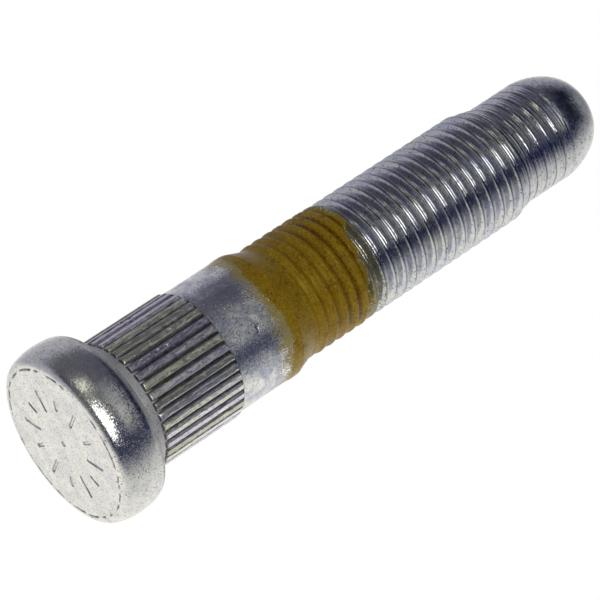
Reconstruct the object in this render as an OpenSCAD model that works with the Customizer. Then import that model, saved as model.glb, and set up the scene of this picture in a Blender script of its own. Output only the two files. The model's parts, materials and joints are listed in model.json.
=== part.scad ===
/* [Head] */
// Diameter of the round head
head_d = 20.8; // [19:0.1:23]
// Thickness of the head, from its flat face to its underside
head_t = 5.9; // [4.8:0.1:7.5]
// Diameter of the flat face of the head
face_d = 17.6; // [15:0.1:18.5]
// Height of the rounded corner between the flat face and the rim
face_corner_h = 2.7; // [1:0.1:3.5]
// Fullness of that corner: 2 is an ellipse, and a higher value is squarer
face_corner_power = 2.7; // [2:0.1:4]
// Height of the rounded corner at the back of the rim
back_corner_h = 1.7; // [0.8:0.1:2]
// Width of the rounded corner at the back of the rim
back_corner_w = 1.2; // [0.5:0.05:1.5]
// Radius of the fillet between the underside and the neck, which ends outside the teeth
neck_fillet = 0.55; // [0.2:0.05:0.8]

/* [Knurl] */
// Diameter over the teeth of the knurl
knurl_d = 15.7; // [15.4:0.05:16.2]
// Depth of the grooves between the teeth
knurl_depth = 0.42; // [0.3:0.02:0.55]
// Number of teeth round the stud
knurl_teeth = 39; // [32:1:46]
// Length of plain neck between the head and the teeth
neck_len = 1.3; // [0.9:0.1:2]
// Length of the teeth along the stud
knurl_len = 11.5; // [8:0.1:14]
// Length of the sloping end of each tooth
tooth_end_len = 0.7; // [0.3:0.05:1.2]
// Share of the tooth pitch that the top of a tooth takes
tooth_top_share = 0.6; // [0.45:0.01:0.7]
// Share of the tooth pitch that the bottom of a groove takes
groove_share = 0.1; // [0.05:0.01:0.2]

/* [Shank] */
// Diameter of the plain shank
shank_d = 15.1; // [14.9:0.05:15.3]
// Length of the plain shank, from the knurl to the taper
shank_len = 8.6; // [6:0.1:12]
// Length of the taper from the shank down to the thread
taper_len = 2.4; // [1.5:0.1:3.5]
// Diameter at the small end of the taper, where the thread starts
taper_end_d = 13.42; // [13.2:0.02:13.6]

/* [Thread] */
// Diameter over the crests of the thread
thread_d = 13.8; // [13.7:0.02:14]
// Pitch of the thread
pitch = 1.5; // [1.25:0.05:1.75]
// Depth of the thread from crest to root
thread_depth = 0.8; // [0.6:0.02:0.95]
// Width of the flat crest
crest_w = 0.33; // [0.2:0.01:0.4]
// Width of the flat root
root_w = 0.24; // [0.15:0.01:0.3]
// Length of the thread at its full diameter
thread_len = 31.6; // [26:0.1:36]
// Length over which a thread rises out of, or sinks into, a plain face
run_out_len = 1.5; // [0.8:0.1:2.2]
// Straight faces that make up one turn
turn_facets = 32; // [24:2:36]

/* [Tip] */
// Length of the step down from the full thread to the tip
step_len = 2.6; // [1.5:0.1:4]
// Length of the threaded tip section
tip_len = 6; // [4:0.1:8]
// Diameter over the lobes of the tip section
tip_d = 12.4; // [12:0.02:12.8]
// Depth of the grooves of the tip section
tip_depth = 0.27; // [0.15:0.01:0.35]
// Length of the plain land before the dome
land_len = 0.3; // [0.2:0.05:1.5]
// Height of the domed end
dome_h = 6; // [4:0.1:7]
// Diameter of the blunt middle of the dome
dome_blunt_d = 6; // [4:0.1:8]
// Height of the crown on the blunt middle
dome_crown_h = 0.25; // [0.1:0.05:0.8]
// Fullness of the dome's side: 2 is an ellipse, and a lower value is more pointed
dome_power = 1.7; // [1.4:0.05:2.5]

/* [Locking patch] */
// Length of shank that the dried compound covers before the taper
patch_on_shank = 1.9; // [0.5:0.1:4]
// Thickness of the compound at its edge on the shank
patch_edge_t = 0.05; // [0.04:0.01:0.1]
// Thickness of the compound on the taper and over the crests
patch_t = 0.14; // [0.1:0.01:0.22]
// Thickness of the compound in the roots of the thread
patch_root_t = 0.42; // [0.25:0.01:0.5]
// Number of thread turns that the compound covers
patch_turns = 6.5; // [4:0.1:12]
// Height of the waves in the edge of the compound on the thread
patch_wave_h = 0.5; // [0:0.05:0.9]

/* [Hidden] */
$fn = 96;
// Points in each rounded corner
corner_points = 10;
// Room by which one round or faceted end covers or enters the next, so that no two edges coincide
cover = 0.03;

head_r = head_d / 2;
face_r = face_d / 2;
knurl_r = knurl_d / 2;
groove_r = knurl_r - knurl_depth;
neck_r = groove_r - 0.1;
shank_r = shank_d / 2;
taper_end_r = taper_end_d / 2;
knurl_z = head_t + neck_len;
shank_z = knurl_z + knurl_len;
taper_z = shank_z + shank_len;
thread_z = taper_z + taper_len;

crest_r = thread_d / 2;
root_r = crest_r - thread_depth;
tip_r = tip_d / 2;
tip_root_r = tip_r - tip_depth;
start_r = taper_end_r - cover;
// The threaded length is a whole number of steps, and a step is one pitch over the facets of a turn
step = pitch / turn_facets;
rod_steps = round((thread_len + step_len + tip_len) / step);
land_z = thread_z + rod_steps * step;
land_r = tip_r + cover;
dome_z = land_z + land_len;
blunt_r = dome_blunt_d / 2;
stud_len = dome_z + dome_h;

// Phases, in steps, of the corners of the thread's section: crest start and end, root start and end
crest_steps = max(1, round(crest_w / step));
root_steps = max(1, round(root_w / step));
flank_steps = floor((turn_facets - crest_steps - root_steps) / 2);
CORNERS = [0, crest_steps, crest_steps + flank_steps, crest_steps + flank_steps + root_steps];

// Points of a quarter of an ellipse round a centre, from one angle to another, squarer for a higher power
function full(x, power) = sign(x) * pow(abs(x), 2 / power);
function corner(centre, size_r, size_z, from, to, power = 2) = [
    for (k = [0:corner_points])
        let (a = from + (to - from) * k / corner_points)
            centre + [size_r * full(cos(a), power), size_z * full(sin(a), power)]
];

// Value between two others, held at each end
function blend(x, x0, x1, y0, y1) =
    y0 + (y1 - y0) * max(0, min(1, (x - x0) / (x1 - x0)));

// Remainder that stays positive for a negative number
function wrap(x, n) = x - n * floor(x / n);

// Section of the thread by phase: 1 on the crest, 0 in the root and straight between them
function section(phase) =
    phase <= CORNERS[1] ? 1
    : phase < CORNERS[2] ? (CORNERS[2] - phase) / (CORNERS[2] - CORNERS[1])
    : phase <= CORNERS[3] ? 0
    : (phase - CORNERS[3]) / (turn_facets - CORNERS[3]);

// Radius over the crests at a height above the start of the thread
function crest_at(h) =
    h < thread_len ? blend(h, 0, run_out_len / 2, start_r, crest_r)
    : blend(h, thread_len, thread_len + step_len, crest_r, tip_r);

// Radius in the roots, which fades out at the taper and at the land
function root_at(h) =
    let (end = rod_steps * step)
        h < thread_len ? blend(h, 0, run_out_len, start_r, root_r)
        : h < end - run_out_len ? blend(h, thread_len, thread_len + step_len, root_r, tip_root_r)
        : blend(h, end - run_out_len, end, tip_root_r, tip_r);

// Radius of the steel at a step along the stud and a facet round it
function steel_r(m, i) =
    let (s = section(wrap(m - i, turn_facets)))
        root_at(m * step) * (1 - s) + crest_at(m * step) * s;

// Thickness of the compound, full on the first turns and thin at its edge on the thread
patch_steps = round(patch_turns * turn_facets);
function coat_t(m, i) =
    let (s = section(wrap(m - i, turn_facets)))
    let (full = patch_root_t * (1 - s) + patch_t * s)
    let (on = blend(m, 0, run_out_len / step, patch_t, full))
        blend(m, patch_steps - turn_facets, patch_steps, on, patch_edge_t);

// Step at which the compound ends on each facet, in uneven waves
function patch_end(i) =
    let (a = 360 * i / turn_facets)
        patch_steps + round((sin(3 * a) + 0.6 * sin(7 * a + 50)) * patch_wave_h / step / 2);

// One corner of the helical grid, and the steps at which one facet's column has its corners
function grid_point(r, m, i) =
    [r * cos(360 * i / turn_facets), r * sin(360 * i / turn_facets), m * step];
function column(i, top) = concat(
    [0],
    [for (m = [1:top - 1]) if (len(search(wrap(m - i, turn_facets), CORNERS)) > 0) m],
    [top]
);

// Rows of the grid, each named by its step on facet 0, and the starts of the columns in the point list
function grid_rows(top) = [
    for (k = [-2:ceil(top / turn_facets)]) for (c = CORNERS) k * turn_facets + c
];
function running_sum(v) = [for (k = 0, s = 0; k < len(v); s = s + v[k], k = k + 1) s];

// Triangles of the helical surface between the columns, each row joined to itself on the next facet
function grid_faces(columns, tops, first) = [
    for (i = [0:turn_facets - 1])
        let (j = (i + 1) % turn_facets)
        let (rows = grid_rows(max(tops)))
            for (q = [0:len(rows) - 2])
                let (a1 = max(0, min(tops[i], rows[q] + i)))
                let (a2 = max(0, min(tops[i], rows[q + 1] + i)))
                let (b1 = max(0, min(tops[j], rows[q] + i + 1)))
                let (b2 = max(0, min(tops[j], rows[q + 1] + i + 1)))
                let (pa1 = first[i] + search(a1, columns[i])[0])
                let (pa2 = first[i] + search(a2, columns[i])[0])
                let (pb1 = first[j] + search(b1, columns[j])[0])
                let (pb2 = first[j] + search(b2, columns[j])[0])
                    for (face = [
                        if (a2 > a1) [pa1, pa2, pb2],
                        if (b2 > b1) [pa1, pb2, pb1]
                    ]) face
];

// The forged blank as one turned outline: head, neck, core of the knurl, shank and taper
module blank() {
    rotate_extrude()
        polygon(concat(
            [[0, 0]],
            corner([face_r, face_corner_h], head_r - face_r, face_corner_h, -90, 0, face_corner_power),
            corner([head_r - back_corner_w, head_t - back_corner_h], back_corner_w, back_corner_h, 0, 90),
            corner([neck_r + neck_fillet, head_t + neck_fillet], neck_fillet, neck_fillet, 270, 180),
            [
                [neck_r, shank_z],
                [shank_r, shank_z],
                [shank_r, taper_z],
                [taper_end_r, thread_z],
                [0, thread_z]
            ]
        ));
}

// Outline of the knurl across the stud, with each tooth's flanks run past its top
module tooth_outline() {
    half = 180 / knurl_teeth;
    rise = (1 - groove_share - tooth_top_share) * half;
    over_r = knurl_r + knurl_depth / 2;
    over = max(0.1, tooth_top_share * half - rise / 2);
    polygon([
        for (k = [0:knurl_teeth - 1])
            for (p = [
                [groove_r, -half * (1 - groove_share)],
                [over_r, -over],
                [over_r, over],
                [groove_r, half * (1 - groove_share)]
            ])
                let (a = 360 * (k + 0.5) / knurl_teeth + p[1])
                    p[0] * [cos(a), sin(a)]
    ]);
}

// The straight teeth, trimmed to round tops and sloping ends
module knurl() {
    translate([0, 0, knurl_z])
        intersection() {
            linear_extrude(height = knurl_len)
                tooth_outline();
            rotate_extrude()
                polygon([
                    [0, 0],
                    [groove_r - cover, 0],
                    [knurl_r, tooth_end_len],
                    [knurl_r, knurl_len - tooth_end_len],
                    [groove_r - cover, knurl_len],
                    [0, knurl_len]
                ]);
        }
}

// The thread and the stepped tip section as one closed body on the helical grid
module thread() {
    tops = [for (i = [0:turn_facets - 1]) rod_steps];
    columns = [for (i = [0:turn_facets - 1]) column(i, tops[i])];
    first = running_sum([for (c = columns) len(c)]);
    points = [
        for (i = [0:turn_facets - 1])
            for (m = columns[i]) grid_point(steel_r(m, i), m, i)
    ];
    translate([0, 0, thread_z])
        polyhedron(points, concat(
            grid_faces(columns, tops, first),
            [[for (i = [0:turn_facets - 1]) first[i]]],
            [[for (i = [turn_facets - 1:-1:0]) first[i] + len(columns[i]) - 1]]
        ));
}

// The plain land and the blunt domed end
module dome() {
    rotate_extrude()
        polygon(concat(
            [[0, land_z], [land_r, land_z]],
            corner([blunt_r, dome_z], land_r - blunt_r, dome_h - dome_crown_h, 0, 90, dome_power),
            [
                for (k = [1:corner_points])
                    let (u = k / corner_points)
                        [blunt_r * (1 - u), stud_len - dome_crown_h * pow(1 - u, 2)]
            ]
        ));
}

// The stud, forged and rolled as one piece
module stud() {
    color([0.72, 0.73, 0.76]) {
        blank();
        knurl();
        thread();
        dome();
    }
}

// Compound on the shank and the taper, with a small lip that runs on inside the compound on the thread
module patch_sleeve() {
    rotate_extrude()
        polygon([
            [shank_r, taper_z - patch_on_shank],
            [shank_r + patch_edge_t, taper_z - patch_on_shank],
            [shank_r + patch_t, taper_z],
            [taper_end_r + patch_t, thread_z],
            [taper_end_r + cover, thread_z],
            [taper_end_r + cover, thread_z + cover],
            [taper_end_r, thread_z + cover],
            [taper_end_r, thread_z],
            [shank_r, taper_z]
        ]);
}

// Compound in and over the thread, with its inner face on the steel and a wavy far edge
module patch_on_thread() {
    tops = [for (i = [0:turn_facets - 1]) patch_end(i)];
    columns = [for (i = [0:turn_facets - 1]) column(i, tops[i])];
    first = running_sum([for (c = columns) len(c)]);
    count = first[turn_facets - 1] + len(columns[turn_facets - 1]);
    outer = grid_faces(columns, tops, first);
    far = [for (i = [0:turn_facets - 1]) first[i] + len(columns[i]) - 1];
    translate([0, 0, thread_z])
        polyhedron(
            concat(
                [
                    for (i = [0:turn_facets - 1])
                        for (m = columns[i]) grid_point(steel_r(m, i) + coat_t(m, i), m, i)
                ],
                [
                    for (i = [0:turn_facets - 1])
                        for (m = columns[i]) grid_point(steel_r(m, i), m, i)
                ]
            ),
            concat(
                outer,
                [for (f = outer) [f[2] + count, f[1] + count, f[0] + count]],
                [
                    for (i = [0:turn_facets - 1])
                        let (j = (i + 1) % turn_facets)
                            for (face = [
                                [first[i], first[j], first[j] + count],
                                [first[i], first[j] + count, first[i] + count],
                                [far[j], far[i], far[i] + count],
                                [far[j], far[i] + count, far[j] + count]
                            ]) face
                ]
            )
        );
}

// The dried thread-locking compound, one skin from the shank to the thread
module locking_patch() {
    color([0.63, 0.48, 0.11]) {
        patch_sleeve();
        patch_on_thread();
    }
}

stud();
locking_patch();
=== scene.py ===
"""Wheel stud with a dried thread-locking patch: meshes, finishes, light and camera.

Lengths in the dataclasses are in millimetres and become metres when a mesh is made.
"""
import json
import logging
import math
from dataclasses import dataclass
from enum import Enum
from typing import Callable, Sequence

import bmesh
import bpy
import numpy as np
from mathutils import Matrix, Vector, noise


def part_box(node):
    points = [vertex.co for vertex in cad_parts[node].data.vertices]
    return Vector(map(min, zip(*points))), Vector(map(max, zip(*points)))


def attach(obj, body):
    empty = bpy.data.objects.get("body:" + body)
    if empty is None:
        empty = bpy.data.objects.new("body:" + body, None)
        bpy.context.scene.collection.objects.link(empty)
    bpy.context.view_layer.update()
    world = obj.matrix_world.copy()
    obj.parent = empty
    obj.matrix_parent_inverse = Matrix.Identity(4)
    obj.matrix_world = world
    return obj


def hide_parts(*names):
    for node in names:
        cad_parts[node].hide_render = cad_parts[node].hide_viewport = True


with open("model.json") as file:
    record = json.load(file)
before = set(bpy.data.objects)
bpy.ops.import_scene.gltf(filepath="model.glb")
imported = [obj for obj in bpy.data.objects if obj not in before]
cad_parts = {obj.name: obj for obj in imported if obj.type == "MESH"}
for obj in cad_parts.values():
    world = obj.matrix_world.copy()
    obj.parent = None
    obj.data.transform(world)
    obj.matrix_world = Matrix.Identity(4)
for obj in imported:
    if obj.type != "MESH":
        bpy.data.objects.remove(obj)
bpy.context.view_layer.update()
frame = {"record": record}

LOG = logging.getLogger("wheel_stud")
MM = 0.001
WELD = 0.001 * MM
NOISE_R = 7.0
BODY = "root"

PHOTO_AZIMUTH = 106.0
# Share of painted shade in creases and recesses, and of random darker tone on the knurl's teeth.
PAINTED_SHADE_AND_TONE = "painted_shade_and_tone"
TONE = "tone"
VALLEY = "recess_shade"
FROST = "frost"
EDGE_SHARE = "edge_share"

Colour = tuple[float, float, float]
Outline = list[tuple[float, float]]
ALL_ROUND = (180.0, 180.0)


class Slot(Enum):
    """Material slots of the record."""

    STEEL = "zinc_steel"
    COMPOUND = "dried_compound"


class Node(Enum):
    """Solids of the frame that pieces stand for."""

    STUD = "stud"
    PATCH = "locking_patch"


def smooth_step(x: np.ndarray, low: float, high: float) -> np.ndarray:
    """Rise smoothly from 0 at low to 1 at high.

    Args:
        x: Values to map.
        low: Value that gives 0.
        high: Value that gives 1.

    Returns:
        The mapped values.
    """
    t = np.clip((np.asarray(x, float) - low) / (high - low), 0.0, 1.0)
    return t * t * (3.0 - 2.0 * t)


def ramp(x: np.ndarray, low: float, high: float, start: float, end: float) -> np.ndarray:
    """Straight line from start to end, held level outside low and high.

    Args:
        x: Values to map.
        low: Where the line starts.
        high: Where the line ends.
        start: Value before the line.
        end: Value after the line.

    Returns:
        The mapped values.
    """
    t = np.clip((np.asarray(x, float) - low) / (high - low), 0.0, 1.0)
    return start + (end - start) * t


def quarter(centre: tuple[float, float], width: float, height: float,
            first: float, last: float, count: int) -> Outline:
    """Points of part of an ellipse in the outline's plane.

    Args:
        centre: Centre as radius and height.
        width: Half-axis across the stud.
        height: Half-axis along the stud.
        first: Starting angle in degrees.
        last: Ending angle in degrees.
        count: Number of steps.

    Returns:
        The points, each as radius and height.
    """
    angles = np.radians(np.linspace(first, last, count + 1))
    return [(centre[0] + width * math.cos(a), centre[1] + height * math.sin(a)) for a in angles]


def straight(start: tuple[float, float], end: tuple[float, float], pitch: float) -> Outline:
    """Evenly spaced points on a line, without its first point.

    Args:
        start: First end as radius and height.
        end: Second end as radius and height.
        pitch: Largest distance between points.

    Returns:
        The points after the first.
    """
    count = max(1, math.ceil(math.dist(start, end) / pitch))
    return [
        (start[0] + (end[0] - start[0]) * k / count, start[1] + (end[1] - start[1]) * k / count)
        for k in range(1, count + 1)
    ]


def rough(points: np.ndarray, scale: Sequence[float], seed: int) -> np.ndarray:
    """Smooth noise at each point.

    Args:
        points: Array of points in millimetres.
        scale: Frequency along each axis, per millimetre.
        seed: Moves the noise, so that two uses differ.

    Returns:
        One value between about -1 and 1 for each point.
    """
    shift = Vector((seed * 17.3, seed * 5.1, seed * 9.7))
    scaled = points * np.asarray(scale)
    return np.array([noise.noise(Vector(p) + shift) for p in scaled])


def mesh_object(name: str, points: np.ndarray, faces: list[tuple[int, ...]]) -> bpy.types.Object:
    """Make a smooth-shaded object at the origin from points in millimetres.

    Args:
        name: Name of the piece.
        points: Array of points in millimetres.
        faces: Corner numbers of each face.

    Returns:
        The object, linked to the scene.
    """
    mesh = bpy.data.meshes.new(name)
    mesh.from_pydata((points * MM).tolist(), [], faces)
    mesh.polygons.foreach_set("use_smooth", [True] * len(mesh.polygons))
    mesh.update()
    piece = bpy.data.objects.new(name, mesh)
    bpy.context.scene.collection.objects.link(piece)
    return piece


def turned(name: str, outline: Outline, columns: int,
           shape: Callable[[np.ndarray], np.ndarray] | None = None) -> bpy.types.Object:
    """Turn an outline that starts and ends on the axis into a closed mesh.

    Args:
        name: Name of the piece.
        outline: Points as radius and height; the first and last lie on the axis.
        columns: Number of points round the axis.
        shape: Optional function that moves the points in millimetres.

    Returns:
        The object, with one pole at each end.
    """
    angles = np.linspace(0.0, 2.0 * math.pi, columns, endpoint=False)
    rings = np.array(outline[1:-1])
    grid = np.empty((len(rings), columns, 3))
    grid[..., 0] = rings[:, :1] * np.cos(angles)
    grid[..., 1] = rings[:, :1] * np.sin(angles)
    grid[..., 2] = rings[:, 1:]
    poles = np.array([(0.0, 0.0, outline[0][1]), (0.0, 0.0, outline[-1][1])])
    points = np.vstack([grid.reshape(-1, 3), poles])
    if shape is not None:
        points = shape(points)
    start, end = len(points) - 2, len(points) - 1
    faces: list[tuple[int, ...]] = []
    for row in range(len(rings) - 1):
        for c in range(columns):
            d = (c + 1) % columns
            a, b = row * columns, (row + 1) * columns
            faces.append((a + c, a + d, b + d, b + c))
    last = (len(rings) - 1) * columns
    for c in range(columns):
        d = (c + 1) % columns
        faces.append((start, d, c))
        faces.append((end, last + c, last + d))
    return mesh_object(name, points, faces)


def store(piece: bpy.types.Object, name: str, values: np.ndarray) -> None:
    """Store one number for each point of a piece under a name."""
    piece.data.attributes.new(name, "FLOAT", "POINT").data.foreach_set("value", values)


def points_in_mm(piece: bpy.types.Object) -> np.ndarray:
    """Give the points of a piece in millimetres."""
    points = np.empty(len(piece.data.vertices) * 3)
    piece.data.vertices.foreach_get("co", points)
    return points.reshape(-1, 3) / MM


class Board:
    """Adds nodes to a tree and links them, with one short call for each."""

    def __init__(self, tree: bpy.types.NodeTree) -> None:
        """Keep the tree that the nodes go into."""
        self.tree = tree

    def add(self, kind: str, feeds: dict | None = None, **settings: object) -> bpy.types.Node:
        """Add a node.

        Args:
            kind: Type name of the node.
            feeds: Values or sockets for its inputs, by name or number.
            **settings: Properties of the node.

        Returns:
            The node.
        """
        node = self.tree.nodes.new(kind)
        for name, value in settings.items():
            setattr(node, name, value)
        for key, value in (feeds or {}).items():
            self.feed(node.inputs[key], value)
        return node

    def feed(self, socket: bpy.types.NodeSocket, value: object) -> None:
        """Link a socket into an input, or set the input's value."""
        if isinstance(value, bpy.types.NodeSocket):
            self.tree.links.new(value, socket)
        else:
            socket.default_value = value

    def sum(self, operation: str, a: object, b: object = 0.0, c: object = 0.0) -> bpy.types.NodeSocket:
        """Add a Math node and return its result.

        Args:
            operation: Name of the operation.
            a: First value or socket.
            b: Second value or socket.
            c: Third value or socket, where the operation takes one.

        Returns:
            The node's output.
        """
        return self.add("ShaderNodeMath", {0: a, 1: b, 2: c}, operation=operation).outputs[0]

    def vector(self, operation: str, a: object, b: object = None) -> bpy.types.NodeSocket:
        """Add a Vector Math node and return its result.

        Args:
            operation: Name of the operation.
            a: First vector or socket.
            b: Second vector or socket, or the factor of SCALE.

        Returns:
            The node's output, which is a number for DOT_PRODUCT.
        """
        feeds = {0: a}
        if b is not None:
            feeds["Scale" if operation == "SCALE" else 1] = b
        node = self.add("ShaderNodeVectorMath", feeds, operation=operation)
        return node.outputs["Value" if operation == "DOT_PRODUCT" else "Vector"]

    def split(self, vector: bpy.types.NodeSocket) -> bpy.types.NodeOutputs:
        """Split a vector into sockets for X, Y and Z."""
        return self.add("ShaderNodeSeparateXYZ", {0: vector}).outputs

    def joined(self, x: object = 0.0, y: object = 0.0, z: object = 0.0) -> bpy.types.NodeSocket:
        """Join three values or sockets into a vector."""
        return self.add("ShaderNodeCombineXYZ", {0: x, 1: y, 2: z}).outputs[0]

    def attribute(self, name: str) -> bpy.types.NodeSocket:
        """Read a number that a piece stores for its points."""
        return self.add("ShaderNodeAttribute", attribute_name=name).outputs["Fac"]

    def swing(self, share: bpy.types.NodeSocket, reach: float) -> bpy.types.NodeSocket:
        """Turn a share from 0 to 1 into a swing of this whole reach round 0."""
        return self.sum("MULTIPLY_ADD", share, reach, -reach / 2)

    def stored(self, shape: bpy.types.NodeSocket, name: str,
               value: bpy.types.NodeSocket) -> bpy.types.NodeSocket:
        """Store a number for each point of a geometry under a name."""
        return self.add("GeometryNodeStoreNamedAttribute", {
            "Geometry": shape, "Name": name, "Value": value,
        }, data_type="FLOAT", domain="POINT").outputs[0]

    def noise(self, place: object, scale: object, detail: float, roughness: float = 0.5,
              distortion: float = 0.0) -> bpy.types.NodeSocket:
        """Add a Noise Texture node and return its share.

        Args:
            place: Vector socket that says where.
            scale: Waves per unit of place.
            detail: Number of finer waves.
            roughness: Strength of the finer waves.
            distortion: How much the waves are bent.

        Returns:
            The node's output.
        """
        return self.add("ShaderNodeTexNoise", {
            "Vector": place, "Scale": scale, "Detail": detail,
            "Roughness": roughness, "Distortion": distortion,
        }).outputs["Fac"]

    def range(self, value: object, low: object, high: object, start: object = 0.0,
              end: object = 1.0, curve: str = "SMOOTHSTEP") -> bpy.types.NodeSocket:
        """Add a Map Range node and return its result.

        Args:
            value: Value to map.
            low: Value that gives start.
            high: Value that gives end.
            start: Result at low.
            end: Result at high.
            curve: Kind of interpolation.

        Returns:
            The node's output.
        """
        node = self.add(
            "ShaderNodeMapRange",
            {"Value": value, "From Min": low, "From Max": high, "To Min": start, "To Max": end},
            interpolation_type=curve,
        )
        return node.outputs["Result"]

    def mix(self, factor: object, a: object, b: object) -> bpy.types.NodeSocket:
        """Add a colour Mix node and return its result.

        Args:
            factor: Share of b.
            a: First colour.
            b: Second colour.

        Returns:
            The node's output.
        """
        return self.add("ShaderNodeMix", {0: factor, 6: rgba(a), 7: rgba(b)}, data_type="RGBA").outputs[2]


def rgba(colour: object) -> object:
    """Give a plain colour its alpha and leave a socket as it is."""
    if isinstance(colour, tuple) and len(colour) == 3:
        return (*colour, 1.0)
    return colour


def new_group(name: str, kind: str, sockets: Sequence[tuple[str, str, str, float | None]]
              ) -> bpy.types.NodeTree:
    """Make an empty node group with named sockets.

    Args:
        name: Name of the group.
        kind: Type name of the tree.
        sockets: Name, INPUT or OUTPUT, socket type and default of each socket.

    Returns:
        The group.
    """
    group = bpy.data.node_groups.new(name, kind)
    for label, side, socket_type, default in sockets:
        socket = group.interface.new_socket(name=label, in_out=side, socket_type=socket_type)
        if default is not None:
            socket.default_value = default
    return group


class PlatingEffects:
    """Node groups that the plated finishes and the compound share."""

    coarse_scale: float = 0.33
    cell_scale: float = 0.9
    slow_scale: float = 0.45
    pit_soft: float = 0.07
    pit_fields: tuple[float, float] = (0.42, 0.58)
    cell_edge: tuple[float, float] = (0.36, 0.12)
    mottle_edge: tuple[float, float] = (0.35, 0.65)
    coarse_height: float = 0.6
    pit_drop: float = 0.8
    film_wander: float = 3.0
    film_grain: float = 3.2
    film_edge: tuple[float, float] = (0.55, 0.85)

    def __init__(self) -> None:
        """Build the groups once."""
        self.speckle = self._speckle()
        self.facets = self._facets()
        self.film = self._film()

    def _speckle(self) -> bpy.types.NodeTree:
        """Build the group of dark pits, bright grains and slow mottling."""
        group = new_group("plating_speckle", "ShaderNodeTree", [
            ("Place", "INPUT", "NodeSocketVector", None),
            ("Grain", "INPUT", "NodeSocketFloat", 6.0),
            ("Pit Edge", "INPUT", "NodeSocketFloat", 0.66),
            ("Pits", "OUTPUT", "NodeSocketFloat", None),
            ("Grains", "OUTPUT", "NodeSocketFloat", None),
            ("Mottle", "OUTPUT", "NodeSocketFloat", None),
            ("Height", "OUTPUT", "NodeSocketFloat", None),
        ])
        board = Board(group)
        source = board.add("NodeGroupInput").outputs
        place, size = source["Place"], source["Grain"]
        fine = board.noise(place, size, detail=3.0, roughness=0.6)
        wide = board.sum("MULTIPLY", size, self.coarse_scale)
        coarse = board.noise(place, wide, detail=2.0, roughness=0.55)
        slow = board.noise(place, self.slow_scale, detail=4.0, roughness=0.6, distortion=0.4)
        cells = board.add("ShaderNodeTexVoronoi", {
            "Vector": place, "Scale": board.sum("MULTIPLY", size, self.cell_scale), "Randomness": 1.0,
        }, feature="F1")
        pit_top = board.sum("ADD", source["Pit Edge"], self.pit_soft)
        pits = board.range(fine, source["Pit Edge"], pit_top)
        pits = board.sum("MULTIPLY", pits, board.range(coarse, *self.pit_fields))
        grains = board.range(cells.outputs["Distance"], *self.cell_edge)
        mottle = board.range(slow, *self.mottle_edge)
        swell = board.sum("MULTIPLY_ADD", coarse, self.coarse_height, fine)
        height = board.sum("SUBTRACT", swell, board.sum("MULTIPLY", pits, self.pit_drop))
        board.add("NodeGroupOutput", {"Pits": pits, "Grains": grains, "Mottle": mottle, "Height": height})
        return group

    @staticmethod
    def _facets() -> bpy.types.NodeTree:
        """Build the group of small flat grains, each leaning its own way."""
        group = new_group("plating_facets", "ShaderNodeTree", [
            ("Place", "INPUT", "NodeSocketVector", None),
            ("Smooth", "INPUT", "NodeSocketVector", None),
            ("Size", "INPUT", "NodeSocketFloat", 7.0),
            ("Lean", "INPUT", "NodeSocketFloat", 0.1),
            ("Normal", "OUTPUT", "NodeSocketVector", None),
        ])
        board = Board(group)
        source = board.add("NodeGroupInput").outputs
        cells = board.add("ShaderNodeTexVoronoi", {
            "Vector": source["Place"], "Scale": source["Size"], "Randomness": 1.0,
        }, feature="F1")
        lean = board.vector("SUBTRACT", cells.outputs["Color"], (0.5, 0.5, 0.5))
        both = board.vector("ADD", source["Smooth"], board.vector("SCALE", lean, source["Lean"]))
        board.add("NodeGroupOutput", {"Normal": board.vector("NORMALIZE", both)})
        return group

    def _film(self) -> bpy.types.NodeTree:
        """Build the group of the thin, grainy film beyond both edges of the compound."""
        group = new_group("compound_film", "ShaderNodeTree", [
            ("Place", "INPUT", "NodeSocketVector", None),
            ("Shank Edge", "INPUT", "NodeSocketFloat", 25.5),
            ("Thread Edge", "INPUT", "NodeSocketFloat", 41.5),
            ("Shank Fade", "INPUT", "NodeSocketFloat", 1.2),
            ("Thread Fade", "INPUT", "NodeSocketFloat", 2.5),
            ("Film", "OUTPUT", "NodeSocketFloat", None),
        ])
        board = Board(group)
        source = board.add("NodeGroupInput").outputs
        height = board.split(source["Place"])["Z"]
        patches = board.noise(source["Place"], 0.9, detail=3.0, roughness=0.6)
        dust = board.noise(source["Place"], 4.5, detail=2.0, roughness=0.7)
        place = board.sum("ADD", height, board.swing(patches, self.film_wander))
        grain = board.swing(dust, self.film_grain)
        shares = []
        for gap, fade in (
            (board.sum("SUBTRACT", source["Shank Edge"], place), source["Shank Fade"]),
            (board.sum("SUBTRACT", place, source["Thread Edge"]), source["Thread Fade"]),
        ):
            left = board.sum("SUBTRACT", 1.0, board.sum("DIVIDE", gap, fade))
            shares.append(board.range(board.sum("ADD", left, grain), *self.film_edge))
        board.add("NodeGroupOutput", {"Film": board.sum("MULTIPLY", *shares)})
        return group


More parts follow.
